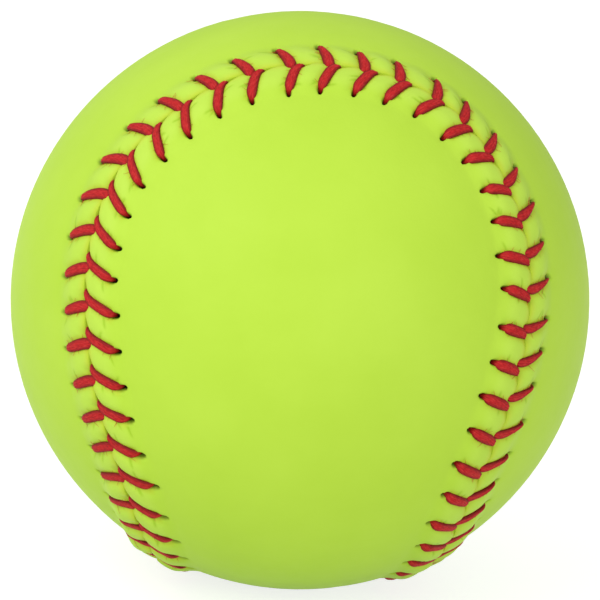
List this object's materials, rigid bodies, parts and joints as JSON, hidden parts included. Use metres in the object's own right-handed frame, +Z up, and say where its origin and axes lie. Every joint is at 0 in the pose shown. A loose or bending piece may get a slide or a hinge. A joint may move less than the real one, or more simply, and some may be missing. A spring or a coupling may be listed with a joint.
{
  "type": "softball",
  "caption": "Optic yellow fastpitch softball: two figure-eight leather panels cemented over a moulded core and laced together with red thread along a raised seam.",
  "frame": {"origin": "middle of the ball", "axes": "+Z up through the middle of the top panel's waist; -Y out of the front panel's front lobe; +X out of the top panel's right lobe"},
  "size_m": [0.097, 0.097, 0.097],
  "materials": {
    "moulded_core": "moulded polyurethane foam with a matt skin",
    "cement": "dried contact cement",
    "cover_leather": "pigmented optic yellow leather, smooth satin coat",
    "lacing_thread": "waxed red cotton thread"
  },
  "bodies": {
    "root": {"core": "moulded_core", "cement_film": "cement", "front_panel": "cover_leather", "top_panel": "cover_leather", "front_stitches": "lacing_thread", "top_stitches": "lacing_thread"}
  },
  "joints": []
}
